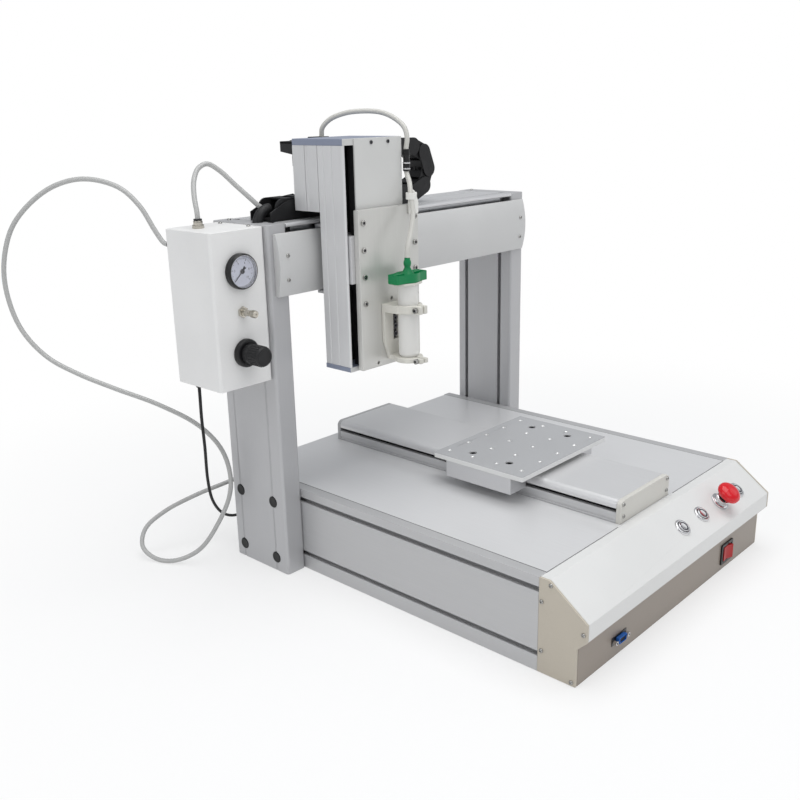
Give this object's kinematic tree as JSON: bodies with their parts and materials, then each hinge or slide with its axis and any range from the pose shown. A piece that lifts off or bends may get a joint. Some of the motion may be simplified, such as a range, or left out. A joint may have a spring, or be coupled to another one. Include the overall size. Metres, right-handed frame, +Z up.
{
  "type": "desktop dispensing robot",
  "caption": "Bench-top gantry dispensing robot with a moving fixture table, a syringe on a vertical axis, a drag chain and an air control box.",
  "frame": {"origin": "middle of the flat underside of the base, on the bench", "axes": "+X to the operator's right, +Y to the back, +Z up"},
  "size_m": [0.7006, 0.7257, 0.58],
  "materials": {
    "anodised": "natural anodised, fine extrusion lines",
    "painted_grey": "warm light grey paint, satin",
    "painted_white": "off-white powder coat, satin",
    "table_grey": "ground and anodised mid grey",
    "cap_blue_grey": "blue-grey satin paint",
    "bright_screw": "plated steel",
    "steel": "ground steel",
    "black_motor": "black satin",
    "black_plastic": "black, lightly textured",
    "red_plastic": "red, glossy",
    "blue_socket": "blue insulator in a plated shell",
    "plated": "nickel-plated",
    "brass": "plated brass",
    "clear": "clear",
    "nylon": "milky white nylon",
    "barrel": "milky translucent polypropylene",
    "green_plastic": "bright green",
    "tube": "translucent polyurethane",
    "cable": "black jacket"
  },
  "bodies": {
    "frame": {"side_profiles": "anodised", "deck_plate": "anodised", "base_tray": "painted_grey", "console_panel": "painted_grey", "console_cheeks": "painted_grey", "cover_screws": "bright_screw", "rocker_bezel": "black_plastic", "panel_sockets": "blue_socket", "panel_bezels": "plated", "left_column": "anodised", "right_column": "anodised", "column_plugs": "black_plastic", "beam_profile": "anodised", "beam_cover": "painted_grey", "linear_rails": "steel", "stepper_motors": "black_motor", "x_bearing_blocks": "anodised", "chain_tray": "black_plastic", "drag_chain": "black_plastic", "cable_conduit": "black_plastic", "y_module_base": "anodised", "y_module_cover": "anodised", "y_end_plates": "painted_grey", "box_shell": "painted_white", "gauge_case": "black_plastic", "gauge_lens": "clear", "regulator_body": "black_plastic", "air_fittings": "brass", "supply_tube": "tube", "box_cable": "cable", "feed_tube": "tube"},
    "cross_head": {"x_carriage": "anodised", "z_profile": "anodised", "z_front_cover": "painted_grey", "z_end_caps": "cap_blue_grey", "z_motor_housing": "anodised", "chain_bracket": "black_motor"},
    "tool": {"z_slider": "anodised", "z_plate": "painted_grey", "head_screws": "bright_screw", "syringe_bracket": "nylon", "syringe_barrel": "barrel", "syringe_cap": "green_plastic", "hose_fittings": "nylon", "syringe_tube": "tube"},
    "table": {"y_carriage": "anodised", "table_plate": "table_grey"},
    "x_screw": {"x_screw": "steel"},
    "y_screw": {"y_screw": "steel"},
    "z_screw": {"z_screw": "steel"},
    "rocker": {"rocker": "red_plastic"},
    "button_left": {"button_left": "plated"},
    "button_middle": {"button_middle": "plated"},
    "button_right": {"button_right": "plated"},
    "estop_stem": {"estop_stem": "black_plastic"},
    "estop_head": {"estop_head": "red_plastic"},
    "gauge_needle": {"gauge_needle": "black_plastic"},
    "regulator_spindle": {"regulator_spindle": "steel"},
    "regulator_knob": {"regulator_knob": "black_plastic"},
    "valve_knob": {"valve_knob": "brass"}
  },
  "joints": [
    {"name": "x_axis", "type": "slide", "parent": "frame", "child": "cross_head", "axis": [1, 0, 0], "range_m": [-0.015, 0.285], "deforming": ["drag_chain"]},
    {"name": "z_axis", "type": "slide", "parent": "cross_head", "child": "tool", "axis": [0, 0, 1], "range_m": [-0.095, 0.095], "deforming": ["syringe_tube"]},
    {"name": "y_axis", "type": "slide", "parent": "frame", "child": "table", "axis": [0, 1, 0], "range_m": [-0.12, 0.18]},
    {"name": "x_screw_turn", "type": "hinge", "parent": "frame", "child": "x_screw", "pos_m": [0, 0.182, 0.391], "axis": [1, 0, 0], "range_deg": [-545, 10265]},
    {"name": "y_screw_turn", "type": "hinge", "parent": "frame", "child": "y_screw", "pos_m": [0, 0, 0.096], "axis": [0, 1, 0], "range_deg": [-4325, 6485]},
    {"name": "z_screw_turn", "type": "hinge", "parent": "cross_head", "child": "z_screw", "pos_m": [-0.135, 0.10625, 0.409], "axis": [0, 0, 1], "range_deg": [-3425, 3425]},
    {"name": "rocker_tilt", "type": "hinge", "parent": "frame", "child": "rocker", "pos_m": [0.13, -0.263, 0.022], "axis": [0, 0, 1], "range_deg": [0, 16]},
    {"name": "button_left_push", "type": "slide", "parent": "frame", "child": "button_left", "axis": [0, 0.5973, -0.802], "range_m": [0, 0.0025], "stiffness_N_per_m": 600, "springref_m": -0.002},
    {"name": "button_middle_push", "type": "slide", "parent": "frame", "child": "button_middle", "axis": [0, 0.5973, -0.802], "range_m": [0, 0.0025], "stiffness_N_per_m": 600, "springref_m": -0.002},
    {"name": "button_right_push", "type": "slide", "parent": "frame", "child": "button_right", "axis": [0, 0.5973, -0.802], "range_m": [0, 0.0025], "stiffness_N_per_m": 600, "springref_m": -0.002},
    {"name": "estop_push", "type": "slide", "parent": "frame", "child": "estop_stem", "axis": [0, 0.5973, -0.802], "range_m": [0, 0.005]},
    {"name": "estop_twist", "type": "hinge", "parent": "estop_stem", "child": "estop_head", "pos_m": [0.118, -0.25685, 0.09275], "axis": [0, -0.5973, 0.802], "range_deg": [0, 30], "stiffness_Nm_per_rad": 0.05, "springref_deg": -11.46},
    {"name": "gauge_turn", "type": "hinge", "parent": "frame", "child": "gauge_needle", "pos_m": [-0.294, 0.15, 0.404], "axis": [0, 1, 0], "range_deg": [0, 270], "stiffness_Nm_per_rad": 0.0001, "springref_deg": -17.19},
    {"name": "regulator_turn", "type": "hinge", "parent": "frame", "child": "regulator_spindle", "pos_m": [-0.294, 0.15, 0.307], "axis": [0, 1, 0], "range_deg": [-720, 720]},
    {"name": "regulator_pull", "type": "slide", "parent": "regulator_spindle", "child": "regulator_knob", "axis": [0, -1, 0], "range_m": [0, 0.004]},
    {"name": "valve_turn", "type": "hinge", "parent": "frame", "child": "valve_knob", "pos_m": [-0.294, 0.14, 0.356], "axis": [0, 1, 0], "range_deg": [0, 1440]}
  ],
  "couplings": [
    {"joint": "x_screw_turn", "follows": "x_axis", "rad_per_m": 628.32},
    {"joint": "y_screw_turn", "follows": "y_axis", "rad_per_m": 628.32},
    {"joint": "z_screw_turn", "follows": "z_axis", "rad_per_m": 628.32}
  ]
}
